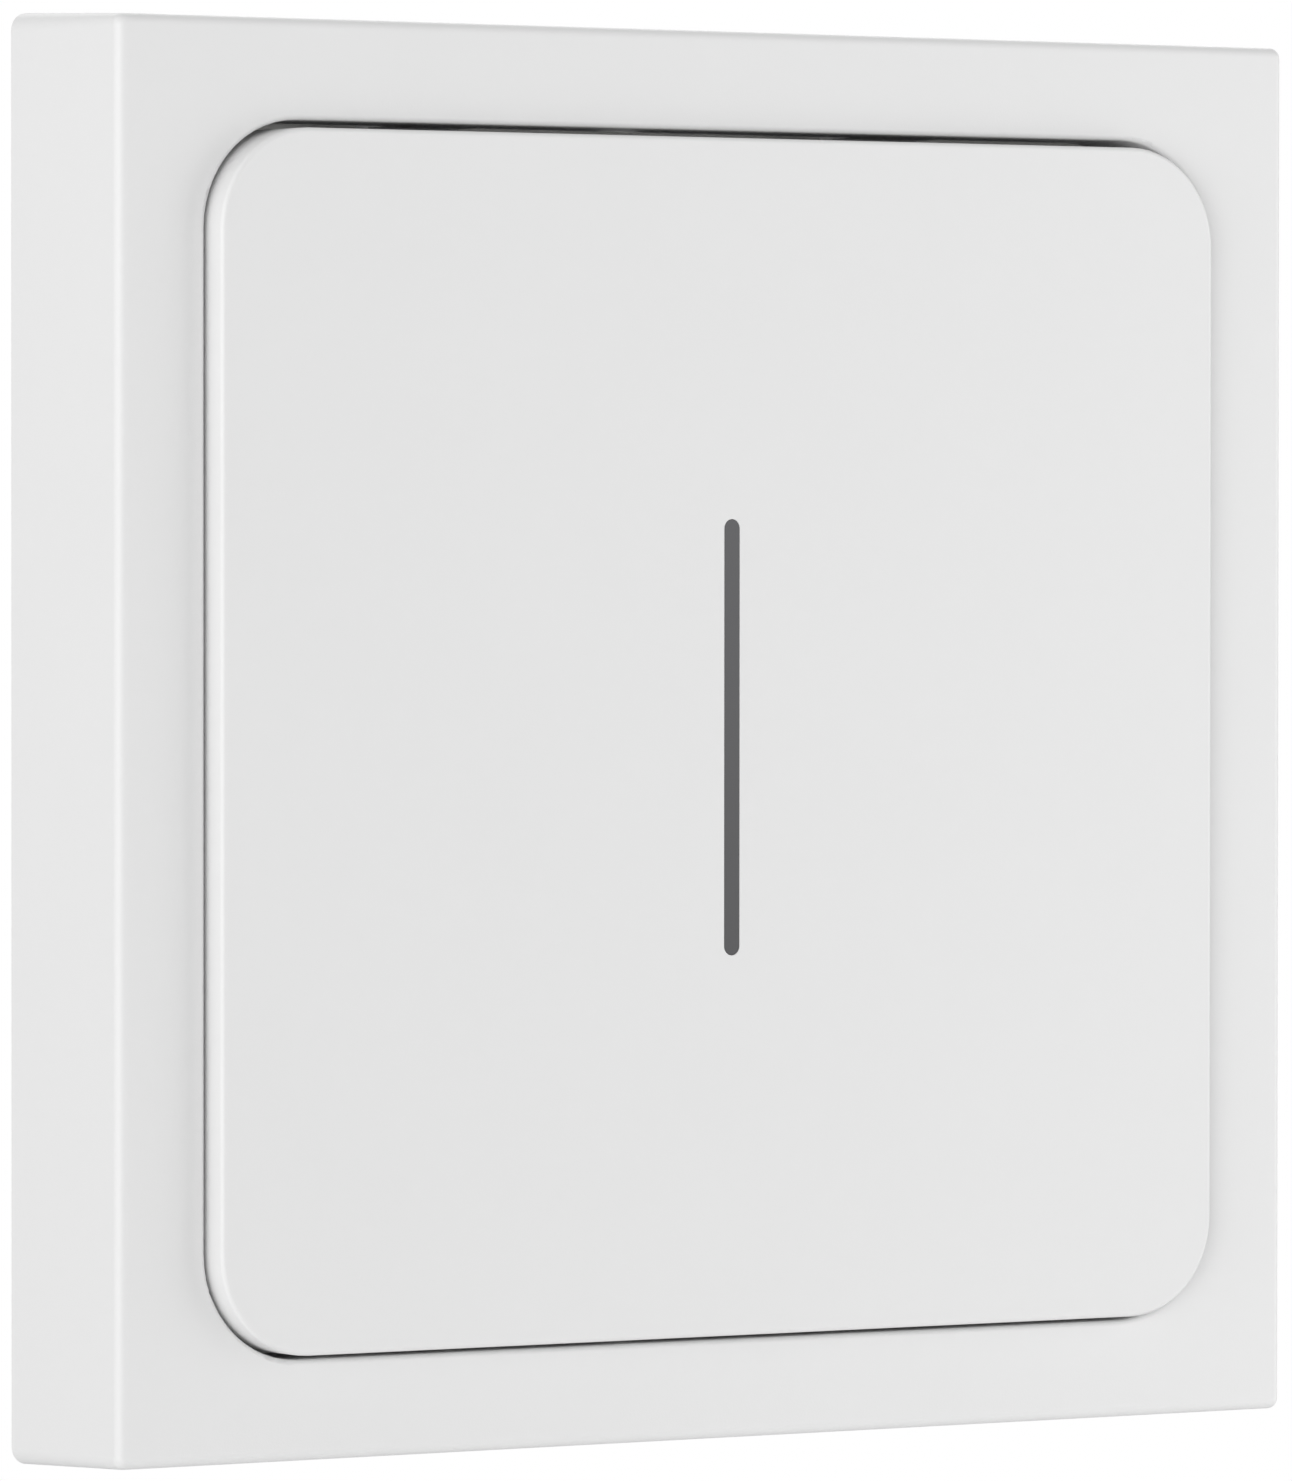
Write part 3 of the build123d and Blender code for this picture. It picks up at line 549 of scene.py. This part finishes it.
def slabs(name, places, size, corner, material, facing=1, body="mounted_parts"):
    """Flat blocks with rounded corners and a soft top edge, each on its place across, up and out."""
    soft = min(corner, size[2] / 3)
    layers = ((0.0, 0.0), (0.0, size[2] - soft), (0.3 * soft, size[2] - 0.3 * soft), (soft, size[2]))
    half_x, half_y = size[0] / 2 - corner, size[1] / 2 - corner
    around = [2 * math.pi * (i + 0.5) / 16 for i in range(16)]
    stacks = []
    for x, y, z in places:
        stacks.append([[
            spot(
                x + math.copysign(half_x, math.cos(a)) + (corner - inset) * math.cos(a),
                y + math.copysign(half_y, math.sin(a)) + (corner - inset) * math.sin(a),
                z + facing * rise)
            for a in around
        ] for inset, rise in layers])
    return stacked(name, stacks, material, body)


def solder_cone(r, rise):
    """A fillet of solder that climbs a pin and ends in a rounded tip."""
    shares = ((1.0, 0.0), (0.72, 0.16), (0.52, 0.42), (0.45, 0.8), (0.3, 1.0))
    return [(across * r, up * rise) for across, up in shares]


def box_mm(node):
    """A node's corners as across, up and out, in millimetres."""
    low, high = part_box(node)
    return Vector((low.x, low.z, -high.y)) / mm, Vector((high.x, high.z, -low.y)) / mm


board_pattern, given, result = effect("board_pattern", {
    "Colour": (0.02, 0.16, 0.07, 1.0), "Track colour": (0.045, 0.30, 0.12, 1.0),
    "Edge colour": (0.42, 0.40, 0.20, 1.0), "Roughness": 0.3, "Cell size": 9.0, "Tracks in a cell": 7.0})
place = board_pattern.nodes.new("ShaderNodeTexCoord")
laid_flat = board_pattern.nodes.new("ShaderNodeMapping")
laid_flat.inputs["Rotation"].default_value = (math.radians(-90), 0.0, 0.0)
cells = board_pattern.nodes.new("ShaderNodeTexVoronoi")
cells.voronoi_dimensions = "2D"
cells.distance = "CHEBYCHEV"
board_pattern.links.new(place.outputs["Object"], laid_flat.inputs["Vector"])
board_pattern.links.new(laid_flat.outputs["Vector"], cells.inputs["Vector"])
board_pattern.links.new(calc(board_pattern, "DIVIDE", 1.0 / mm, given["Cell size"]), cells.inputs["Scale"])
turns = calc(board_pattern, "MULTIPLY", cells.outputs["Distance"], given["Tracks in a cell"])
tracks = calc(board_pattern, "GREATER_THAN", calc(board_pattern, "FRACT", turns), 0.62)
ground = calc(board_pattern, "GREATER_THAN", lumps(board_pattern, given["Cell size"], 0.0), 0.58)
copper = calc(board_pattern, "MAXIMUM", tracks, ground)
fibres = lumps(board_pattern, 0.35, 1.0)
masked = mixed(board_pattern, given["Colour"], given["Track colour"], copper)
masked = mixed(board_pattern, masked, given["Edge colour"], faces_sideways(board_pattern))
weave_tone = varied(board_pattern, 1.0, fibres, 0.12)
board_pattern.links.new(toned(board_pattern, masked, weave_tone), result["Colour"])
board_pattern.links.new(varied(board_pattern, given["Roughness"], fibres, 0.1), result["Roughness"])
board_pattern.links.new(copper, result["Height"])

control_green = finished("control_green", board_pattern, {}, relief=0.035, shader={"Coat Weight": 0.3})
dress(control_green, "control_board")
solder = {"Colour": (0.68, 0.68, 0.69), "Roughness": 0.22, "Blotch size": 0.5}
solder_tin = finished("solder_tin", rolled_metal, solder, relief=0.002, shader=metal)
gold = {"Colour": (0.86, 0.62, 0.28), "Roughness": 0.24, "Blotch size": 0.6}
gold_plate = finished("gold_plate", rolled_metal, gold, relief=0.001, shader=metal)
tan = {"Colour": (0.34, 0.22, 0.13), "Roughness": 0.5, "Grain size": 0.08}
ceramic_tan = finished("ceramic_tan", moulded_texture, tan, relief=0.004)
chip_epoxy = {"Colour": (0.02, 0.02, 0.022), "Roughness": 0.4, "Grain size": 0.1, "Roughness change": 0.1}
epoxy_black = finished("epoxy_black", moulded_texture, chip_epoxy, relief=0.004)

board_front = box_mm("control_board")[1].z
low, high = box_mm("header_pins")
header = (low + high) / 2
pin_columns = [header.x + pin_pitch * (i - 2) for i in range(5)]
pin_rows = [header.y + pin_pitch * (j - 0.5) for j in range(2)]
pin_joints = [(x, y, board_front) for x in pin_columns for y in pin_rows]
pin_fillet = solder_cone(solder_r, solder_rise)
turned("plug_pin_solder", pin_joints, pin_fillet, solder_tin, sides=16)
for side in ("upper", "lower"):
    low, high = box_mm(f"{side}_dome")
    ring_r = (high.x - low.x) / 2
    ring_edge = ring_r + contact_ring_width
    ring = [(ring_edge, 0.0), (ring_edge, contact_ring_t), (ring_r, contact_ring_t)]
    place = (0.0, (low.y + high.y) / 2, board_front)
    turned(f"{side}_dome_contact", [place], ring, gold_plate, sides=36)

low, high = box_mm("controller_chip")
chip, chip_half, chip_top = (low + high) / 2, (high.x - low.x) / 2, high.z
led_rows = [led_pitch * (i - (led_count - 1) / 2) for i in range(led_count)]
resistors = [(-beside_lights, y) for y in led_rows]
resistors += [(x, y) for x in resistor_columns for y in resistor_rows]
reach = chip_half + beside_chip
capacitors = [(chip.x - reach, chip.y), (chip.x, chip.y - reach), *spare_capacitors]
for kind, places, skin in (("resistor", resistors, epoxy_black), ("capacitor", capacitors, ceramic_tan)):
    middles = [(x, y, board_front) for x, y in places]
    half_span = (small_part[0] - small_end) / 2
    ends = [(x + way * half_span, y, board_front) for x, y in places for way in (-1, 1)]
    core = (small_part[0] - 2 * small_end, small_part[1] - 0.06, small_part[2] - 0.03)
    slabs(f"small_{kind}s", middles, core, 0.04, skin)
    slabs(f"small_{kind}_ends", ends, (small_end, *small_part[1:]), 0.08, solder_tin)
crystal_place = (chip.x, chip.y + chip_half + beyond_chip, board_front)
slabs("crystal_can", [crystal_place], crystal_size, 0.4, solder_tin)
slabs("regulator", [(*regulator_place, board_front)], regulator_size, 0.12, epoxy_black)

# Lights and their shroud
# Six white lights stand in a row behind the light bar, each with a yellow phosphor window. A black moulded
# shroud keeps their light in the bar.
window_size = (0.5, 1.05, 0.02)

led_case = {"Colour": (0.82, 0.81, 0.76), "Roughness": 0.25, "Grain size": 0.08}
dress(finished("led_case", moulded_texture, led_case, relief=0.001), "led_row")
gel = {"Colour": (0.82, 0.62, 0.08), "Roughness": 0.2, "Grain size": 0.03}
phosphor_gel = finished("phosphor_gel", moulded_texture, gel, relief=0.003)
led_top = box_mm("led_row")[1].z
slabs("light_windows", [(0.0, y, led_top) for y in led_rows], window_size, 0.2, phosphor_gel)

black = {"Colour": (0.03, 0.03, 0.03), "Roughness": 0.45, "Grain size": 0.15, "Roughness change": 0.08}
black_plastic = finished("black_plastic", moulded_texture, black, relief=0.006)
dress(black_plastic, "light_shroud", "header_socket")

# Controller, radio and plug pins
# The controller is a moulded chip with bent leads. The radio is a ready made module with a copper aerial on
# its free end and a soldered metal can over the rest. Gold plated pins plug into the insert's black socket.
lead_count = 8
lead_pitch = 0.65
lead_r = 0.11
dimple_r = 0.35
dimple_inset = 0.9
aerial_runs = 14
aerial_r = 0.2
aerial_proud = 0.05
aerial_margin = 1.0
aerial_above_can = 1.2
aerial_below_edge = 0.8
module_contact = (0.5, 0.8, 0.82)
module_contact_pitch = 1.5
module_contact_start = 2.0
module_contact_count = 7

dress(epoxy_black, "controller_chip")
lead_rise = (chip_top - board_front) / 2
leads = []
for turn in range(4):
    angle = math.pi / 2 * turn
    for i in range(lead_count):
        along = lead_pitch * (i - (lead_count - 1) / 2)
        path = []
        for reach, rise in ((-0.1, lead_rise), (0.28, lead_rise), (0.45, lead_r), (0.95, lead_r)):
            x = (chip_half + reach) * math.cos(angle) - along * math.sin(angle)
            y = (chip_half + reach) * math.sin(angle) + along * math.cos(angle)
            path.append(spot(chip.x + x, chip.y + y, board_front + rise))
        leads.append(path)
wire("chip_leads", leads, lead_r, solder_tin)
dimple = [(dimple_r, 0.0), (0.94 * dimple_r, 0.01), (0.86 * dimple_r, 0.0)]
dimple_place = (chip.x - chip_half + dimple_inset, chip.y + chip_half - dimple_inset, chip_top)
turned("chip_pin_one_mark", [dimple_place], dimple, epoxy_black, sides=20)

dress(control_green, "radio_module")
can = {"Colour": (0.7, 0.7, 0.7), "Roughness": 0.32, "Blotch size": 3.0, "Line size": 0.08}
dress(finished("shield_can", rolled_metal, can, relief=0.003, shader=metal), "radio_shield")
low, high = box_mm("radio_module")
aerial_low, aerial_high = box_mm("radio_shield")[1].y + aerial_above_can, high.y - aerial_below_edge
aerial_depth = high.z + aerial_proud - aerial_r
aerial = []
for i in range(aerial_runs):
    x = low.x + aerial_margin + i * (high.x - low.x - 2 * aerial_margin) / (aerial_runs - 1)
    ends = (aerial_low, aerial_high) if i % 2 == 0 else (aerial_high, aerial_low)
    aerial += [spot(x, y, aerial_depth) for y in ends]
wire("aerial_trace", [aerial], aerial_r, gold_plate)
first_contact = low.y + module_contact_start
contact_rows = [first_contact + module_contact_pitch * i for i in range(module_contact_count)]
module_contacts = [(x, y, board_front) for x in (low.x, high.x) for y in contact_rows]
slabs("module_contacts", module_contacts, module_contact, 0.12, solder_tin)
dress(gold_plate, "header_pins")

# Support plate
# Stamped from zinc plated steel sheet, which is screwed to the wall box through its slots. The sheet's
# rolling marks run across it, and its cut edges are duller than its faces.
zinc_sheet = {
    "Colour": (0.60, 0.60, 0.585), "Roughness": 0.36, "Edge dulling": 0.25, "Blotch size": 5.0,
    "Tone change": 0.34, "Line size": 0.2, "Roughness change": 0.22}
dress(finished("zinc_sheet", rolled_metal, zinc_sheet, relief=0.012, shader=metal), "support_plate")

# Insert and its lid
# A dark grey housing of flame resistant plastic with the coarse texture of its mould, closed by a lid with
# four thread forming screws. The mould's pins and its gate have left their marks.
insert_pin_r = 1.4
insert_pin_columns = (-16.5, 16.5)
insert_pin_rows = (14.5, -8.5)
lid_pin_columns = (-18.0, 18.0)
lid_pin_rows = (-6.0, 6.0)
gate_height = -4.8
gate_r = 0.9
lid_thread_pitch = 0.9
lid_shank_r = 1.0
lid_head_r = 1.9
lid_head_t = 0.9

dark = {
    "Colour": (0.055, 0.057, 0.062), "Roughness": 0.58, "Tone change": 0.22, "Roughness change": 0.22,
    "Grain size": 0.4, "Cloud size": 5.0}
dark_plastic = finished("dark_plastic", moulded_texture, dark, relief=0.06)
dress(dark_plastic, "insert_housing")
lid_grey = {**dark, "Colour": (0.07, 0.072, 0.078)}
lid_plastic = finished("lid_plastic", moulded_texture, lid_grey, relief=0.05)
dress(lid_plastic, "insert_lid")

insert_back = -20.0
land = pin_mark(insert_pin_r, pin_mark_rise)
insert_pins = [(x, y, insert_back) for x in insert_pin_columns for y in insert_pin_rows]
turned("insert_pin_marks", insert_pins, land, dark_plastic, facing=-1)
gate_steps = ((1.0, 0.0), (0.9, 0.06), (0.45, 0.06), (0.35, 0.16), (0.2, 0.18))
gate = [(share * gate_r, rise) for share, rise in gate_steps]
gate_place = (0.0, gate_height, insert_back)
turned("insert_gate_mark", [gate_place], gate, dark_plastic, facing=-1)
lid_front = box_mm("insert_lid")[1].z
lid_pins = [(x, y, lid_front) for x in lid_pin_columns for y in lid_pin_rows]
turned("lid_pin_marks", lid_pins, land, lid_plastic)

dress(screw_steel, "lid_screws")
low, high = box_mm("lid_screws")
wire("lid_screw_threads", [
    thread_path(start, (0, 1, 0), high.z - low.z - lid_head_t, lid_shank_r, lid_thread_pitch)
    for start in screw_starts("lid_screws", lid_head_r, lid_head_t)
], thread_crest_r, screw_steel)

# Power board
# A second green board with wide copper for the mains current. What stands behind it is soldered at its
# front, with the ends of the leads cut short.
transistor_pitch = 12.0
transistor_lead_pitch = 2.3
tail_from_cage_top = 0.8
cut_lead_rise = 0.5
film_lead_reach = 5.0
can_lead_reach = 1.75
fuse_lead_reach = 2.5
terminal_columns = (-9.75, -3.25, 3.25, 9.75)

wide = {"Cell size": 14.0, "Tracks in a cell": 4.0, "Roughness": 0.34}
power_green = finished("power_green", board_pattern, wide, relief=0.07, shader={"Coat Weight": 0.25})
dress(power_green, "power_board")


def centre(node):
    """The middle of a node across and up, in millimetres."""
    low, high = box_mm(node)
    return (low.x + high.x) / 2, (low.y + high.y) / 2


board_low, board_high = box_mm("power_board")
power_front, power_back = board_high.z, board_low.z
transistor_y = centre("power_transistors")[1]
film_x, film_y = centre("film_capacitor")
can_x, can_y = centre("bulk_capacitor")
fuse_x, fuse_y = centre("fuse")
cages_high = box_mm("terminal_cages")[1]
joints = [(x, cages_high.y - tail_from_cage_top) for x in terminal_columns]
for side in (-1, 1):
    joints += [(side * transistor_pitch / 2 + i * transistor_lead_pitch, transistor_y) for i in (-1, 0, 1)]
for way in (-1, 1):
    joints.append((film_x + way * film_lead_reach, film_y))
    joints.append((can_x, can_y + way * can_lead_reach))
    joints.append((fuse_x, fuse_y + way * fuse_lead_reach))
cut_lead = solder_cone(solder_r, cut_lead_rise)
front_joints = [(x, y, power_front) for x, y in joints]
turned("power_board_solder", front_joints, cut_lead, solder_tin, sides=16)
back_joints = [(x, y, power_back) for x in pin_columns for y in pin_rows]
turned("plug_socket_solder", back_joints, cut_lead, solder_tin, facing=-1, sides=16)

# Choke
# One length of enamelled copper wire, wound in sixteen turns round a ferrite ring. Its two ends go straight
# up through the board.
choke_turns = 16
choke_wire_r = 0.4
choke_spread = 0.93
turn_squareness = 6.0
ring_width = 3.5
choke_joint_r = 1.1
lead_past_board = 0.3

ferrite = {"Colour": (0.06, 0.06, 0.06), "Roughness": 0.7, "Grain size": 0.3, "Tone change": 0.15}
dress(finished("ferrite", moulded_texture, ferrite, relief=0.02), "choke_core")
enamel = {"Colour": (0.72, 0.32, 0.14), "Roughness": 0.3, "Blotch size": 1.5}
lacquered = {"Metallic": 1.0, "Coat Weight": 0.6}
copper_wire = finished("copper_wire", rolled_metal, enamel, relief=0.001, shader=lacquered)
core_x, core_y = centre("choke_core")
low, high = box_mm("choke_core")
core_out = (high.x - low.x) / 2
wound_low, wound_high = box_mm("choke_winding")
turn_out = (wound_high.x - wound_low.x) / 2 - choke_wire_r
turn_in = core_out - ring_width - (turn_out - core_out)
turn_middle, turn_half = (turn_out + turn_in) / 2, (turn_out - turn_in) / 2
turn_z = (wound_high.z + wound_low.z) / 2
turn_half_z = (wound_high.z - wound_low.z) / 2 - choke_wire_r
steps = 40 * choke_turns
winding = []
for i in range(steps + 1):
    ring_angle = 2 * math.pi * choke_spread * i / steps
    turn_angle = 2 * math.pi * choke_turns * i / steps
    c, s = math.sin(turn_angle), math.cos(turn_angle)
    square = (abs(c) ** turn_squareness + abs(s) ** turn_squareness) ** (-1 / turn_squareness)
    r = turn_middle + turn_half * square * c
    x, y = core_x + r * math.cos(ring_angle), core_y + r * math.sin(ring_angle)
    winding.append(spot(x, y, turn_z + turn_half_z * square * s))
lead_end = -(power_front + lead_past_board) * mm
ends = [Vector((point.x, lead_end, point.z)) for point in (winding[0], winding[-1])]
coiled = wire("choke_coil", [[ends[0], *winding, ends[1]]], choke_wire_r, copper_wire)
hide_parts("choke_winding")
choke_joints = [(end.x / mm, end.z / mm, power_front) for end in ends]
fillet = solder_cone(choke_joint_r, cut_lead_rise)
turned("choke_solder", choke_joints, fillet, solder_tin, sides=16)

# Capacitors, fuse and transistors
# The film capacitor is a glossy yellow box, and the large one an aluminium can in a dark blue sleeve. The
# can has a pale stripe down one side and a scored vent in its end. The fuse and the transistors are moulded
# in black epoxy.
vent_r = 3.1
vent_t = 0.05
vent_score = 0.14
stripe_half_angle = 0.38
transistor_lead_length = 2.0

film = {
    "Colour": (0.75, 0.55, 0.08), "Roughness": 0.22, "Grain size": 0.6, "Cloud size": 4.0,
    "Tone change": 0.04}
dress(finished("film_case", moulded_texture, film, relief=0.006), "film_capacitor")

sleeve, given, result = effect("shrunk_sleeve", {
    "Colour": (0.03, 0.05, 0.13, 1.0), "Stripe colour": (0.55, 0.57, 0.62, 1.0), "Roughness": 0.26,
    "Axis across": 0.0, "Axis up": 0.0})
place = sleeve.nodes.new("ShaderNodeTexCoord")
parts = sleeve.nodes.new("ShaderNodeSeparateXYZ")
sleeve.links.new(place.outputs["Object"], parts.inputs["Vector"])
across_axis = calc(sleeve, "SUBTRACT", parts.outputs["X"], given["Axis across"])
up_axis = calc(sleeve, "SUBTRACT", parts.outputs["Z"], given["Axis up"])
way_round = calc(sleeve, "ARCTAN2", across_axis, up_axis)
striped = calc(sleeve, "LESS_THAN", calc(sleeve, "ABSOLUTE", way_round), stripe_half_angle)
wrinkle = lumps(sleeve, 1.6, 3.0)
sleeve.links.new(mixed(sleeve, given["Colour"], given["Stripe colour"], striped), result["Colour"])
sleeve.links.new(varied(sleeve, given["Roughness"], wrinkle, 0.08), result["Roughness"])
sleeve.links.new(wrinkle, result["Height"])
axis = {"Axis across": can_x * mm, "Axis up": can_y * mm}
dress(finished("blue_sleeve", sleeve, axis, relief=0.02), "bulk_capacitor")

sheet = {"Colour": (0.45, 0.46, 0.47), "Roughness": 0.5, "Line size": 0.1, "Tone change": 0.24}
aluminium = finished("aluminium_sheet", rolled_metal, sheet, relief=0.004, shader=metal)
can_end = box_mm("bulk_capacitor")[0].z
sectors = []
score_angle = math.asin(vent_score / 2 / vent_r)
for turn in range(4):
    swept = [score_angle + (math.pi / 2 - 2 * score_angle) * i / 8 for i in range(9)]
    outline = [(vent_score / 2, vent_score / 2)]
    outline += [(vent_r * math.cos(a), vent_r * math.sin(a)) for a in swept]
    c, s = math.cos(math.pi / 2 * turn), math.sin(math.pi / 2 * turn)
    sectors.append([
        [spot(can_x + x * c - y * s, can_y + x * s + y * c, can_end - rise) for x, y in outline]
        for rise in (0.0, vent_t)
    ])
stacked("can_vent", sectors, aluminium)

dress(epoxy_black, "fuse")

leaded_epoxy, given, result = effect("leaded_epoxy", {
    "Colour": (0.02, 0.02, 0.022, 1.0), "Lead colour": (0.68, 0.68, 0.69, 1.0), "Leads start": 0.0,
}, extra=("Metallic",))
place = leaded_epoxy.nodes.new("ShaderNodeTexCoord")
parts = leaded_epoxy.nodes.new("ShaderNodeSeparateXYZ")
leaded_epoxy.links.new(place.outputs["Object"], parts.inputs["Vector"])
on_lead = calc(leaded_epoxy, "LESS_THAN", parts.outputs["Y"], given["Leads start"])
grain = lumps(leaded_epoxy, 0.12, 2.0)
tinned = mixed(leaded_epoxy, given["Colour"], given["Lead colour"], on_lead)
leaded_epoxy.links.new(tinned, result["Colour"])
gloss = calc(leaded_epoxy, "ADD", calc(leaded_epoxy, "MULTIPLY", on_lead, -0.18), 0.42)
leaded_epoxy.links.new(varied(leaded_epoxy, gloss, grain, 0.08), result["Roughness"])
leaded_epoxy.links.new(grain, result["Height"])
leaded_epoxy.links.new(on_lead, result["Metallic"])
leads = {"Leads start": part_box("power_board")[1].y + transistor_lead_length * mm}
dress(finished("transistor_epoxy", leaded_epoxy, leads, relief=0.004), "power_transistors")
dress(aluminium, "heat_spreader")

# Terminals
# Cages of tin plated brass, each with a slotted clamp screw that is reached through a hole in the housing's
# lower side. The house wires push in from behind.
terminal_thread_pitch = 0.5
terminal_shank_r = 1.2
terminal_head_t = 1.6

brass = {"Colour": (0.72, 0.66, 0.48), "Roughness": 0.3, "Blotch size": 2.0, "Edge dulling": 0.0}
dress(finished("tinned_brass", rolled_metal, brass, relief=0.003, shader=metal), "terminal_cages")
dress(screw_steel, "terminal_screws")
low, high = box_mm("terminal_screws")
starts = [spot(x, low.y + terminal_head_t, (low.z + high.z) / 2) for x in terminal_columns]
wire("terminal_screw_threads", [
    thread_path(start, (0, 0, 1), high.y - low.y - terminal_head_t, terminal_shank_r, terminal_thread_pitch)
    for start in starts
], thread_crest_r, screw_steel)
